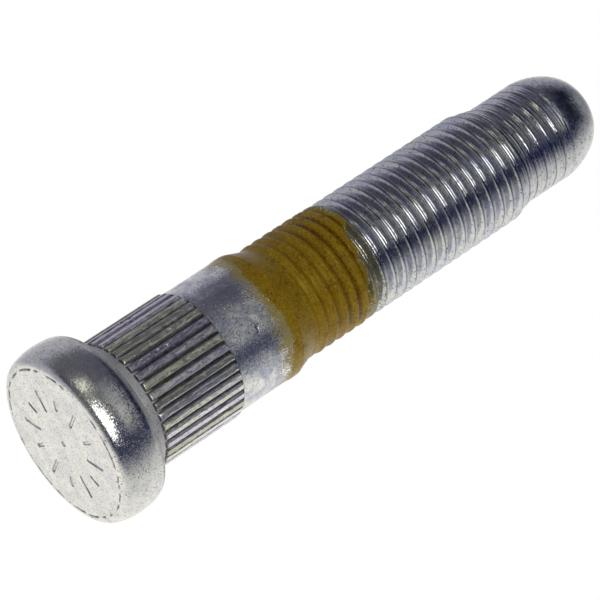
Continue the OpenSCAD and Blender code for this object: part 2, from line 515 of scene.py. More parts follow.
@dataclass(frozen=True)
class ZincPlating:
    """Bright zinc plating on forged or rolled steel."""

    name: str
    light: Colour = (0.80, 0.80, 0.78)
    dark: Colour = (0.42, 0.43, 0.48)
    # Colour of the pits and of the painted shade.
    pit_and_shade: Colour = (0.06, 0.06, 0.08)
    roughness: float = 0.26
    roughness_spread: float = 0.06
    frosted: float = 0.62
    facet_size: float = 7.0
    facet_lean: float = 0.15
    facet_stretch: float = 1.0
    grain: float = 5.5
    grain_share: float = 0.35
    grain_shade: float = 0.45
    pit_edge: float = 0.56
    pit_share: float = 0.85
    mottle_share: float = 0.5
    bump: float = 1.0
    bump_height: float = 0.012
    tints: tuple[Colour, Colour] = ((0.88, 0.88, 0.68), (0.84, 0.76, 0.92))
    tint_from: tuple[float, float] = (0.54, 0.53)
    tint_reach: tuple[float, float] = (0.14, -0.14)
    tint_share: float = 0.0
    tint_scale: tuple[float, float, float] = (1.6, 1.6, 0.22)
    tone_share: float = 0.5
    painted_shade_and_tone_share: float = 0.0
    film_share: float = 0.0
    film: Colour = (0.20, 0.175, 0.025)
    film_metal: float = 0.4
    film_edges: tuple[float, float] = (25.5, 41.5)
    film_fades: tuple[float, float] = (1.2, 2.5)

    def build(self, effects: PlatingEffects) -> bpy.types.Material:
        """Make the material.

        Args:
            effects: The shared node groups.

        Returns:
            The material.
        """
        material, board, shader = new_material(self.name)
        place = place_in_mm(board)
        spots = board.add("ShaderNodeGroup", {
            "Place": place, "Grain": self.grain, "Pit Edge": self.pit_edge,
        }, node_tree=effects.speckle).outputs
        colour = board.mix(board.sum("MULTIPLY", spots["Mottle"], self.mottle_share), self.light, self.dark)
        shade = tuple(self.grain_shade * share for share in self.dark)
        colour = board.mix(board.sum("MULTIPLY", spots["Grains"], self.grain_share), colour, shade)
        if self.tint_share > 0.0:
            stretched = board.add("ShaderNodeMapping", {"Vector": place, "Scale": self.tint_scale})
            clouds = board.noise(stretched.outputs[0], 1.0, detail=4.0, roughness=0.7)
            clouds = board.sum("ADD", clouds, board.swing(board.attribute(TONE), self.tone_share))
            for tint, low, reach in zip(self.tints, self.tint_from, self.tint_reach):
                share = board.sum("MULTIPLY", board.range(clouds, low, low + reach), self.tint_share)
                colour = board.mix(share, colour, tint)
        # Painted shade in creases and recesses darkens the colour towards the pit colour; on the knurl the
        # same share also holds random darker teeth.
        if self.painted_shade_and_tone_share > 0.0:
            painted_shade_and_tone = board.sum("MULTIPLY", board.attribute(PAINTED_SHADE_AND_TONE), self.painted_shade_and_tone_share)
            colour = board.mix(painted_shade_and_tone, colour, self.pit_and_shade)
        pits = board.sum("MULTIPLY", spots["Pits"], self.pit_share)
        colour = board.mix(pits, colour, self.pit_and_shade)
        metallic: object = 1.0
        if self.film_share > 0.0:
            film = board.add("ShaderNodeGroup", {
                "Place": place,
                "Shank Edge": self.film_edges[0], "Thread Edge": self.film_edges[1],
                "Shank Fade": self.film_fades[0], "Thread Fade": self.film_fades[1],
            }, node_tree=effects.film)
            share = board.sum("MULTIPLY", film.outputs["Film"], self.film_share)
            colour = board.mix(share, colour, self.film)
            metallic = board.sum("SUBTRACT", 1.0, board.sum("MULTIPLY", share, 1.0 - self.film_metal))
        roughness = board.sum(
            "MULTIPLY_ADD",
            board.sum("MAXIMUM", spots["Mottle"], spots["Pits"]), self.roughness_spread, self.roughness,
        )
        roughness = board.range(board.attribute(FROST), 0.0, 1.0, roughness, self.frosted, "LINEAR")
        bump = board.add("ShaderNodeBump", {
            "Strength": self.bump, "Distance": self.bump_height * MM, "Height": spots["Height"],
        })
        if self.facet_stretch != 1.0:
            along = (1.0, 1.0, self.facet_stretch)
            place = board.add("ShaderNodeMapping", {"Vector": place, "Scale": along}).outputs[0]
        facets = board.add("ShaderNodeGroup", {
            "Place": place, "Smooth": bump.outputs[0], "Size": self.facet_size, "Lean": self.facet_lean,
        }, node_tree=effects.facets)
        board.feed(shader.inputs["Base Color"], colour)
        board.feed(shader.inputs["Metallic"], metallic)
        board.feed(shader.inputs["Roughness"], roughness)
        board.feed(shader.inputs["Normal"], facets.outputs["Normal"])
        return material


@dataclass(frozen=True)
class DriedCompound:
    """Mustard-coloured thread-locking compound, dried to a satin skin."""

    name: str = "dried_compound"
    deep: Colour = (0.215, 0.105, 0.002)
    body: Colour = (0.390, 0.231, 0.004)
    pale: Colour = (0.64, 0.52, 0.14)
    speck: Colour = (0.055, 0.016, 0.003)
    # Dark brown of the later turns' groove bottoms: partly a stain, partly painted shade.
    stain_and_shade: Colour = (0.110, 0.040, 0.002)
    thin: Colour = (0.34, 0.245, 0.015)
    bare: Colour = (0.72, 0.72, 0.62)
    roughness: tuple[float, float] = (0.17, 0.42)
    tint: Colour = (1.0, 0.74, 0.22)
    grain: float = 5.5
    pit_edge: float = 0.58
    bump: float = 0.8
    bump_height: float = 0.045
    specular: float = 0.5
    ior: float = 1.5
    slow_share: float = 0.35
    body_edge: tuple[float, float] = (0.36, 0.54)
    pale_edge: tuple[float, float] = (0.53, 0.68)
    pale_share: float = 0.60
    dull_edge: tuple[float, float] = (0.35, 0.65)
    speck_from: float = 31.5
    speck_rise: float = 5.0
    few_specks: float = 0.15
    stain_and_shade_grain: float = 2.4
    stain_and_shade_edge: tuple[float, float] = (0.55, 1.00)
    stain_and_shade_share: float = 0.9
    rim_grain: float = 2.6
    thin_edge: tuple[float, float] = (0.45, 0.80)
    thin_share: float = 0.85
    worn_edge: tuple[float, float] = (1.05, 1.25)

    def build(self, effects: PlatingEffects) -> bpy.types.Material:
        """Make the material.

        Args:
            effects: The shared node groups.

        Returns:
            The material.
        """
        material, board, shader = new_material(self.name)
        place = place_in_mm(board)
        spots = board.add("ShaderNodeGroup", {
            "Place": place, "Grain": self.grain, "Pit Edge": self.pit_edge,
        }, node_tree=effects.speckle).outputs
        cloud = board.noise(place, 3.2, detail=5.0, roughness=0.85)
        dust = board.noise(place, 5.0, detail=2.0, roughness=0.7)
        slow = board.noise(place, 0.7, detail=2.0)
        quick = board.sum("MULTIPLY", cloud, 1.0 - self.slow_share)
        mixed = board.sum("MULTIPLY_ADD", slow, self.slow_share, quick)
        colour = board.mix(board.range(mixed, *self.body_edge), self.deep, self.body)
        colour = board.mix(board.range(dust, *self.pale_edge, end=self.pale_share), colour, self.pale)
        # Dark brown in the groove bottoms of the later turns: partly a stain, partly painted shade in the
        # grooves.
        late = board.range(board.split(place)["Z"], self.speck_from, self.speck_from + self.speck_rise)
        low = board.sum("ADD", board.attribute(VALLEY), board.swing(dust, self.stain_and_shade_grain))
        stain_and_shade_mask = board.sum("MULTIPLY", late, self.stain_and_shade_share)
        stain_and_shade_mask = board.sum("MULTIPLY", board.range(low, *self.stain_and_shade_edge), stain_and_shade_mask)
        colour = board.mix(stain_and_shade_mask, colour, self.stain_and_shade)
        some = board.sum("MULTIPLY_ADD", late, 1.0 - self.few_specks, self.few_specks)
        colour = board.mix(board.sum("MULTIPLY", spots["Pits"], some), colour, self.speck)
        grainy = board.sum("ADD", board.attribute(EDGE_SHARE), board.swing(dust, self.rim_grain))
        colour = board.mix(board.range(grainy, *self.thin_edge, end=self.thin_share), colour, self.thin)
        worn = board.range(grainy, *self.worn_edge)
        colour = board.mix(worn, colour, self.bare)
        bump = board.add("ShaderNodeBump", {
            "Strength": self.bump, "Distance": self.bump_height * MM, "Height": spots["Height"],
        })
        board.feed(shader.inputs["Base Color"], colour)
        board.feed(shader.inputs["Metallic"], worn)
        board.feed(shader.inputs["Roughness"], board.range(cloud, *self.dull_edge, *self.roughness))
        board.feed(shader.inputs["Normal"], bump.outputs[0])
        shader.inputs["Specular IOR Level"].default_value = self.specular
        shader.inputs["Specular Tint"].default_value = rgba(self.tint)
        shader.inputs["IOR"].default_value = self.ior
        return material


def new_material(name: str) -> tuple[bpy.types.Material, Board, bpy.types.Node]:
    """Make a material that holds only a Principled shader and its output.

    Args:
        name: Name of the material.

    Returns:
        The material, a board on its tree and the shader node.
    """
    material = bpy.data.materials.new(name)
    material.use_nodes = True
    material.node_tree.nodes.clear()
    board = Board(material.node_tree)
    shader = board.add("ShaderNodeBsdfPrincipled")
    board.add("ShaderNodeOutputMaterial", {"Surface": shader.outputs[0]})
    return material, board, shader


def photo_axes() -> tuple[Vector, Vector, Vector]:
    """Give the directions to the camera's side, to the photo's lower right and to the tip."""
    a = math.radians(PHOTO_AZIMUTH)
    front = Vector((math.sin(a), -math.cos(a), 0.0))
    tip = Vector((0.0, 0.0, 1.0))
    return front, tip.cross(front), tip


def place_in_mm(board: Board) -> bpy.types.NodeSocket:
    """Give the object's own coordinates in millimetres."""
    place = board.add("ShaderNodeTexCoord").outputs["Object"]
    return board.vector("SCALE", place, 1.0 / MM)


@dataclass(frozen=True)
class StudSizes:
    """Sizes of the stud, read from the mounts of the record and from the frame's boxes."""

    head_r: float
    head_t: float
    knurl_r: float
    knurl_from: float
    knurl_to: float
    shank_r: float
    shank_to: float
    thread_from: float
    thread_to: float
    crest_r: float
    length: float
    patch_from: float
    patch_to: float
    pitch: float = 1.5
    thread_depth: float = 0.8
    crest_middle: float = 3.5 / 32 - 0.243
    taper_end_r: float = 6.71
    start_r: float = 6.68
    run_out: float = 1.5
    step_len: float = 2.6
    tip_r: float = 6.2
    tip_depth: float = 0.27
    rod_steps: int = 858
    turn_facets: int = 32
    land_len: float = 0.3
    groove_depth: float = 0.42
    collar_r: float = 7.52
    collar_len: float = 0.38

    @classmethod
    def from_frame(cls, record: dict) -> "StudSizes":
        """Read the sizes.

        Args:
            record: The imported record.

        Returns:
            The sizes in millimetres.
        """
        mounts = {m["name"]: m for m in record["mounts"]}
        shank, knurl, thread = (mounts[n] for n in ("plain_shank", "knurl_press", "wheel_thread"))
        middle = {n: mounts[n]["pos_m"][2] / MM for n in ("plain_shank", "knurl_press", "wheel_thread")}
        low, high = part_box(Node.STUD.value)
        patch_low, patch_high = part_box(Node.PATCH.value)
        return cls(
            head_r=high.x / MM,
            head_t=mounts["head_seat"]["pos_m"][2] / MM,
            knurl_r=knurl["dims"]["r_mm"],
            knurl_from=middle["knurl_press"] - knurl["dims"]["length_mm"] / 2,
            knurl_to=middle["knurl_press"] + knurl["dims"]["length_mm"] / 2,
            shank_r=shank["dims"]["r_mm"],
            shank_to=middle["plain_shank"] + shank["dims"]["length_mm"] / 2,
            thread_from=middle["wheel_thread"] - thread["dims"]["length_mm"] / 2,
            thread_to=middle["wheel_thread"] + thread["dims"]["length_mm"] / 2,
            crest_r=thread["dims"]["r_mm"],
            length=(high.z - low.z) / MM,
            patch_from=patch_low.z / MM,
            patch_to=patch_high.z / MM,
        )

    @property
    def rod_len(self) -> float:
        """Length of the whole threaded rod, a whole number of facet steps."""
        return self.rod_steps * self.pitch / self.turn_facets

    @property
    def land_from(self) -> float:
        """Height at which the plain land starts."""
        return self.thread_from + self.rod_len

    @property
    def groove_r(self) -> float:
        """Radius at the bottom of the knurl's grooves."""
        return self.knurl_r - self.groove_depth

    def crest_at(self, h: np.ndarray) -> np.ndarray:
        """Radius over the crests at heights above the start of the thread."""
        full = self.thread_to - self.thread_from
        rising = ramp(h, 0.0, self.run_out / 2, self.start_r, self.crest_r)
        falling = ramp(h, full, full + self.step_len, self.crest_r, self.tip_r)
        return np.where(h < full, rising, falling)

    def root_at(self, h: np.ndarray) -> np.ndarray:
        """Radius in the roots at heights above the start of the thread."""
        full = self.thread_to - self.thread_from
        root = self.crest_r - self.thread_depth
        tip_root = self.tip_r - self.tip_depth
        rising = ramp(h, 0.0, self.run_out, self.start_r, root)
        falling = ramp(h, full, full + self.step_len, root, tip_root)
        ending = ramp(h, self.rod_len - self.run_out, self.rod_len, tip_root, self.tip_r)
        return np.where(h < full, rising, np.where(h < self.rod_len - self.run_out, falling, ending))


class MarkKind(Enum):
    """Plain shapes struck into the flat face."""

    BAR = "bar"
    DIMPLE = "dimple"


@dataclass(frozen=True)
class StruckMark:
    """One plain mark on a circle round the middle of the face."""

    kind: MarkKind
    turn: float
    place_r: float = 5.2
    reach: float = 1.15

    def distance(self, points: np.ndarray) -> np.ndarray:
        """Distance of points of the face from the middle of the mark's stroke.

        Args:
            points: Points of the face, in millimetres.

        Returns:
            The distances in millimetres.
        """
        a = math.radians(self.turn)
        outward = points[:, 0] * math.cos(a) + points[:, 1] * math.sin(a) - self.place_r
        across = points[:, 1] * math.cos(a) - points[:, 0] * math.sin(a)
        if self.kind is MarkKind.DIMPLE:
            return np.maximum(np.hypot(outward, across) - self.reach, 0.0)
        return np.hypot(np.maximum(np.abs(outward) - self.reach, 0.0), across)


@dataclass
class ForgedBlank:
    """Head, neck, plain shank and taper, with plain marks struck into the flat face."""

    sizes: StudSizes
    columns: int = 400
    pole_r: float = 0.3
    face_z: float = 0.03
    corner_r: float = 1.0
    bulge_r: float = 6.4
    bulge_from: float = 20.0
    back_h: float = 1.7
    back_w: float = 1.2
    back_lean: float = 7.0
    fillet: float = 0.55
    neck_r: float = 7.33
    edge_r: float = 8.96
    edge_depth: float = 0.12
    edge_w: float = 0.10
    edge_wander: tuple[tuple[float, float], ...] = ((0.12, 0.5), (0.07, 2.2))
    edge_breaks: tuple[float, float] = (-0.35, 0.25)
    # Width and height range of the painted shade in the edge groove.
    edge_shade_w: tuple[float, float] = (0.05, 0.22)
    edge_shade_h: tuple[float, float] = (0.02, 0.07)
    face_room: float = 0.3
    collar_edge: tuple[float, float] = (0.06, 0.15)
    collar_past: float = 0.12
    shank_bevel: float = 0.03
    end_rim: float = 0.4
    stroke: float = 0.13
    wall: float = 0.13
    mark_depth: float = 0.15
    mark_wear: tuple[float, float] = (0.8, 0.5)
    row_pitch: float = 0.08
    frost_from: float = 1.0
    frost_full: float = 0.7
    knurl_end_shade_len: float = 0.12
    nick_depth: float = 0.07
    nick_z: float = 22.75
    nick_turn: float = 25.0
    nick_lean: float = 0.2
    stem_half: float = 0.40
    fork_up: float = 0.2
    fork_half: float = 0.12
    fork_lean: float = 0.5
    nick_wall: tuple[float, float] = (0.02, 0.14)
    marks: tuple[StruckMark, ...] = (
        *(StruckMark(MarkKind.BAR, 60.0 * k, reach=1.15) for k in range(6)),
        *(StruckMark(MarkKind.BAR, 60.0 * k + 30.0, reach=0.55) for k in range(6)),
        StruckMark(MarkKind.DIMPLE, 0.0, place_r=0.0, reach=0.12),
    )

    def head_outline(self) -> Outline:
        """Give the outline from the middle of the face to the end of the knurl's core."""
        s = self.sizes
        first = math.radians(self.bulge_from)
        start_r = s.head_r - self.bulge_r * (1.0 - math.cos(first))
        corner = (start_r - self.corner_r * math.cos(first), self.face_z + self.corner_r)
        widest = corner[1] + (self.bulge_r - self.corner_r) * math.sin(first)
        points: Outline = [(0.0, 0.0), (self.pole_r, 0.0)]
        points += straight(points[-1], (self.edge_r, 0.0), self.row_pitch)
        points += straight(points[-1], (corner[0], self.face_z), self.row_pitch)
        points += quarter(corner, self.corner_r, self.corner_r, -90, -self.bulge_from, 12)[1:]
        bulge = (s.head_r - self.bulge_r, widest)
        points += quarter(bulge, self.bulge_r, self.bulge_r, -self.bulge_from, 0, 16)[1:]
        lean = math.radians(self.back_lean)
        turn = math.atan(math.tan(lean) * self.back_h / self.back_w)
        back_z = s.head_t - self.back_h
        slow_r = (back_z + self.back_h * math.sin(turn) - widest) / math.sin(lean)
        points += quarter((s.head_r - slow_r, widest), slow_r, slow_r, 0, self.back_lean, 8)[1:]
        back_r = points[-1][0] - self.back_w * math.cos(turn)
        points += quarter((back_r, back_z), self.back_w, self.back_h, math.degrees(turn), 90, 12)[1:]
        points += straight(points[-1], (self.neck_r + self.fillet, s.head_t), 0.4)
        middle = (self.neck_r + self.fillet, s.head_t + self.fillet)
        points += quarter(middle, self.fillet, self.fillet, 270, 180, 5)[1:]
        neck_top = points[-1][1]
        inset, rise = self.collar_edge
        points += [(s.collar_r - inset, neck_top + inset), (s.collar_r, neck_top + rise)]
        collar_top = s.knurl_from + s.collar_len + self.collar_past
        points += straight(points[-1], (s.collar_r, collar_top), 0.3)
        points += straight((self.neck_r, points[-1][1] + 0.1), (self.neck_r, s.knurl_to), 2.0)
        return points + [(0.0, s.knurl_to)]

    def shank_outline(self) -> Outline:
        """Give the outline from the end of the knurl to the small end of the taper."""
        s = self.sizes
        start = s.knurl_to - 0.05
        points: Outline = [
            (0.0, start), (self.neck_r, start),
            (s.shank_r - self.shank_bevel, start), (s.shank_r, start + self.shank_bevel),
        ]
        points += straight(points[-1], (s.shank_r, s.shank_to - 0.1), 0.12)
        points += [(s.shank_r - 0.01, s.shank_to + 0.05)]
        points += straight(points[-1], (s.taper_end_r, s.thread_from), 0.4)
        return points + [(s.taper_end_r - self.end_rim, s.thread_from), (0.0, s.thread_from)]

    def strike(self, points: np.ndarray) -> np.ndarray:
        """Strike the marks and the uneven edge line into the face.

        Args:
            points: Points of the turned outline.

        Returns:
            The moved points.
        """
        out = points.copy()
        face = points[:, 2] < self.face_z + 0.01
        flat = points[face]
        worn = self.mark_wear[0] + self.mark_wear[1] * rough(flat, (0.8,) * 3, 6)
        depth = self.mark_depth * worn * self.struck(flat)
        wander = sum(
            reach * rough(flat, (scale,) * 3, 3 + k)
            for k, (reach, scale) in enumerate(self.edge_wander)
        )
        line = np.exp(-(((np.hypot(flat[:, 0], flat[:, 1]) - self.edge_r + wander) / self.edge_w) ** 2))
        depth += self.edge_depth * line * smooth_step(rough(flat, (1.6,) * 3, 5), *self.edge_breaks)
        out[face, 2] += depth
        return out

    def struck(self, flat: np.ndarray) -> np.ndarray:
        """Share of the marks' full depth at points of the face, from 0 to 1."""
        nearest = np.min([mark.distance(flat) for mark in self.marks], axis=0)
        return 1.0 - smooth_step(nearest, self.stroke - self.wall / 2, self.stroke + self.wall)

    def nick(self, points: np.ndarray) -> np.ndarray:
        """Press one small forked nick into the shank.

        Args:
            points: Points of the turned outline.

        Returns:
            The moved points.
        """
        out = points.copy()
        radius = np.hypot(points[:, 0], points[:, 1])
        along = points[:, 2] - self.nick_z
        round_it = np.radians(self.nick_turn) - np.arctan2(points[:, 1], points[:, 0])
        across = round_it * self.sizes.shank_r
        stem = np.hypot(np.maximum(np.abs(across) - self.stem_half, 0.0), along - self.nick_lean * across)
        up = along - self.fork_up
        off_fork = across - self.stem_half + self.fork_lean * up
        fork = np.hypot(np.maximum(np.abs(up) - self.fork_half, 0.0), off_fork)
        depth = self.nick_depth * (1.0 - smooth_step(np.minimum(stem, fork), *self.nick_wall))
        depth = np.where(radius > self.sizes.shank_r - 0.02, depth, 0.0)
        shrink = 1.0 - depth / np.maximum(radius, 1.0)
        out[:, 0] *= shrink
        out[:, 1] *= shrink
        return out

    def build_head(self) -> bpy.types.Object:
        """Make the head, the neck and the core of the knurl, with painted shade along the walls of the marks
        and in the edge groove.
        """
        piece = turned("stud_head", self.head_outline(), self.columns, self.strike)
        points = points_in_mm(piece)
        radius = np.hypot(points[:, 0], points[:, 1])
        face = (points[:, 2] < self.face_z + self.face_room) & (radius < self.edge_r + self.face_room)
        # Painted shade: darker along the walls of the struck marks and in the deep part of the edge groove.
        share = self.struck(points)
        near = 1.0 - smooth_step(np.abs(radius - self.edge_r), *self.edge_shade_w)
        rim = near * smooth_step(points[:, 2], *self.edge_shade_h)
        store(piece, PAINTED_SHADE_AND_TONE, np.where(face, np.maximum(4.0 * share * (1.0 - share), rim), 0.0))
        back = self.sizes.head_t
        store(piece, FROST, smooth_step(points[:, 2], back - self.frost_from, back - self.frost_full))
        return piece

    def build_shank(self) -> bpy.types.Object:
        """Make the plain shank and the taper, with painted shade where the knurl ends."""
        piece = turned("stud_shank", self.shank_outline(), self.columns, self.nick)
        end = self.sizes.knurl_to
        # Painted shade in the corner just past the end of the knurl.
        store(piece, PAINTED_SHADE_AND_TONE, 1.0 - smooth_step(points_in_mm(piece)[:, 2], end, end + self.knurl_end_shade_len))
        return piece


@dataclass
class RolledKnurl:
    """Ring of straight teeth, each a little uneven, repeated round the stud by a node tree."""

    sizes: StudSizes
    teeth: int = 39
    across: int = 12
    top_share: float = 0.55
    groove_share: float = 0.1
    head_end: float = 0.26
    shank_end: float = 0.22
    inner_r: float = 7.2
    uneven: float = 0.035
    tilt: float = 0.10
    seed: int = 4
    row_pitch: float = 0.16
    wave_scale: tuple[float, float, float] = (1700.0, 1700.0, 170.0)
    wave_middle: float = 0.55
    nick_scale: tuple[float, float, float] = (1500.0, 1500.0, 1100.0)
    nick_edge: tuple[float, float] = (0.67, 0.75)
    lean_spread: float = 2.0
    lean_middle: float = -0.35
    drop: float = 0.22
    dark_from: float = -0.6
    dark_share: float = 0.28
    wall_hold: float = 0.02
    top_edge: tuple[float, float] = (0.06, 0.10)
    # Where the painted shade in the grooves and at the ends of the teeth starts and ends.
    valley_shade_rise: tuple[float, float] = (0.30, 0.04)
    blunt_shade_start: float = 0.10
    end_shade: tuple[float, float] = (0.20, 0.04)

    def ridge(self) -> bpy.types.Object:
        """Make one tooth as a closed loop of rows from the inner wall over the tooth and back."""
        s = self.sizes
        half = math.pi / self.teeth
        shares = np.linspace(-1.0, 1.0, self.across + 1)
        flank = ramp(np.abs(shares), self.top_share, 1.0 - self.groove_share, 1.0, 0.0)
        rows = np.arange(s.knurl_from, s.knurl_to + 1e-6, self.row_pitch)
        rise_from = s.knurl_from + s.collar_len
        first_rows = rise_from + self.head_end * np.array([0.0, 0.2, 0.4, 0.6, 0.8, 1.0])
        last_rows = s.knurl_to - self.shank_end * np.array([0.15, 0.4, 0.8])
        rows = np.unique(np.concatenate([rows, [s.knurl_to], first_rows, last_rows]))
        radii = []
        for z in rows:
            rise = min(smooth_step(z, rise_from, rise_from + self.head_end),
                       math.sqrt(max(0.0, 1.0 - max(0.0, 1.0 - (s.knurl_to - z) / self.shank_end) ** 2)))
            cap = s.groove_r + (s.knurl_r - s.groove_r) * rise
            radii.append(np.minimum(s.groove_r + (s.knurl_r - s.groove_r) * flank, cap))
        loops = [(np.full_like(shares, self.inner_r), rows[0])]
        loops += list(zip(radii, rows))
        loops += [(np.full_like(shares, self.inner_r), rows[-1])]
        angles = shares * half
        points = np.array([
            (r * math.cos(a), r * math.sin(a), z) for radius, z in loops for r, a in zip(radius, angles)
        ])
        wide = len(shares)
        faces = []
        for k in range(len(loops)):
            m = (k + 1) % len(loops)
            for c in range(self.across):
                faces.append((k * wide + c, k * wide + c + 1, m * wide + c + 1, m * wide + c))
        return mesh_object("stud_knurl", points, faces)

    def tree(self) -> bpy.types.NodeTree:
        """Build the node tree that repeats the tooth and makes each one uneven."""
        group = new_group("knurl_ring", "GeometryNodeTree", [
            ("Geometry", "INPUT", "NodeSocketGeometry", None),
            ("Teeth", "INPUT", "NodeSocketInt", 1),
            ("Unevenness", "INPUT", "NodeSocketFloat", 0.0),
            ("Tilt", "INPUT", "NodeSocketFloat", 0.0),
            ("Seed", "INPUT", "NodeSocketInt", 0),
            ("Material", "INPUT", "NodeSocketMaterial", None),
            ("Geometry", "OUTPUT", "NodeSocketGeometry", None),
        ])
        s = self.sizes
        board = Board(group)
        source = board.add("NodeGroupInput").outputs
        points = board.add("GeometryNodePoints", {"Count": source["Teeth"]}).outputs[0]
        index = board.add("GeometryNodeInputIndex").outputs[0]
        share = board.sum("DIVIDE", board.sum("ADD", index, 0.5), source["Teeth"])
        angle = board.sum("MULTIPLY", share, 2.0 * math.pi)
        ring = board.add("GeometryNodeInstanceOnPoints", {
            "Points": points, "Instance": source["Geometry"], "Rotation": board.joined(z=angle),
        }).outputs[0]
        plain = board.add("GeometryNodeRealizeInstances", {0: ring}).outputs[0]
        place = board.add("GeometryNodeInputPosition").outputs[0]
        split = board.split(place)
        x, y, z = split["X"], split["Y"], split["Z"]
        radius = board.sum("SQRT", board.sum("MULTIPLY_ADD", x, x, board.sum("MULTIPLY", y, y)))
        outward = board.joined(board.sum("DIVIDE", x, radius), board.sum("DIVIDE", y, radius))
        wave = board.noise(board.vector("MULTIPLY", place, self.wave_scale), 1.0, detail=2.0)
        nick = board.noise(board.vector("MULTIPLY", place, self.nick_scale), 1.0, detail=1.0)
        dent = board.range(nick, *self.nick_edge)
        lift = board.sum("SUBTRACT", board.sum("SUBTRACT", wave, self.wave_middle), dent)
        outer = board.range(radius, (self.inner_r + self.wall_hold) * MM, s.groove_r * MM)
        amount = board.sum("MULTIPLY", board.sum("MULTIPLY", lift, outer), source["Unevenness"])
        turns = board.sum("DIVIDE", board.sum("ARCTAN2", y, x), 2.0 * math.pi)
        place_in_ring = board.sum("MULTIPLY", turns, source["Teeth"])
        number = board.sum("FLOOR", place_in_ring)
        tooth = board.sum("FLOORED_MODULO", number, source["Teeth"])
        local = board.sum("SUBTRACT", board.sum("SUBTRACT", place_in_ring, number), 0.5)
        chance = [
            board.add("FunctionNodeRandomValue", {
                2: -1.0, 3: 1.0, "ID": tooth, "Seed": board.sum("ADD", source["Seed"], float(k)),
            }, data_type="FLOAT").outputs[1]
            for k in range(3)
        ]
        low, high = self.top_edge
        top = board.range(radius, (s.groove_r + low) * MM, (s.knurl_r - high) * MM)
        slope = board.sum("MULTIPLY", chance[0], self.lean_spread)
        lean = board.sum("MULTIPLY_ADD", slope, local, self.lean_middle)
        lower = board.sum("MULTIPLY_ADD", chance[1], self.drop, -self.drop)
        own = board.sum("MULTIPLY", board.sum("MULTIPLY", board.sum("ADD", lean, lower), top), source["Tilt"])
        amount = board.sum("ADD", amount, own)
        move = board.vector("SCALE", outward, amount)
        shaped = board.add("GeometryNodeSetPosition", {"Geometry": plain, "Offset": move}).outputs[0]
        # Painted shade in the groove bottoms and at both ends of the teeth; random darker teeth are tone of
        # their own.
        recess_shade = board.range(radius, *((s.groove_r + rise) * MM for rise in self.valley_shade_rise))
        blunt = (s.knurl_from + s.collar_len) * MM
        past = (self.head_end + self.blunt_shade_start) * MM
        start = board.range(z, blunt + past, blunt + self.blunt_shade_start * MM)
        end = board.range(z, *((s.knurl_to - gap) * MM for gap in self.end_shade))
        recess_shade = board.sum("MAXIMUM", recess_shade, board.sum("MAXIMUM", start, end))
        darker = board.range(chance[2], self.dark_from, 1.0, end=self.dark_share)
        shade_stored = board.stored(shaped, PAINTED_SHADE_AND_TONE, board.sum("MAXIMUM", recess_shade, darker))
        toned = board.stored(shade_stored, TONE, board.sum("MULTIPLY_ADD", chance[1], 0.5, 0.5))
        finish_tree(board, toned, source["Material"])
        return group

    def build(self, material: bpy.types.Material) -> bpy.types.Object:
        """Make the ring of teeth.

        Args:
            material: Finish of the teeth.

        Returns:
            The ring as a plain mesh.
        """
        return grown(self.ridge(), self.tree(), {
            "Teeth": self.teeth, "Unevenness": self.uneven * 2.0 * MM, "Tilt": self.tilt * MM,
            "Seed": self.seed, "Material": material,
        })


def finish_tree(board: Board, shape: bpy.types.NodeSocket, material: bpy.types.NodeSocket) -> None:
    """End a geometry tree: weld and smooth its shape, realize any instances and set the material.

    Args:
        board: Board of the tree.
        shape: Geometry that the tree has made.
        material: Input that holds the finish.
    """
    merged = board.add("GeometryNodeMergeByDistance", {"Geometry": shape, "Distance": WELD}).outputs[0]
    smooth = board.add("GeometryNodeSetShadeSmooth", {"Geometry": merged}).outputs[0]
    real = board.add("GeometryNodeRealizeInstances", {0: smooth}).outputs[0]
    dressed = board.add("GeometryNodeSetMaterial", {"Geometry": real, "Material": material})
    board.add("NodeGroupOutput", {"Geometry": dressed.outputs[0]})


def grown(piece: bpy.types.Object, tree: bpy.types.NodeTree, values: dict) -> bpy.types.Object:
    """Run a geometry node tree on a piece and keep the result as a plain mesh.

    Args:
        piece: Piece that the tree starts from.
        tree: The node tree.
        values: Values of the tree's named inputs.

    Returns:
        The piece with its new mesh and no modifier.
    """
    modifier = piece.modifiers.new("shape", "NODES")
    modifier.node_group = tree
    for item in tree.interface.items_tree:
        if item.item_type == "SOCKET" and item.in_out == "INPUT" and item.name in values:
            modifier[item.identifier] = values[item.name]
    bpy.context.view_layer.update()
    graph = bpy.context.evaluated_depsgraph_get()
    mesh = bpy.data.meshes.new_from_object(piece.evaluated_get(graph), depsgraph=graph)
    piece.modifiers.remove(modifier)
    piece.data = mesh
    mesh.name = piece.name
    return piece


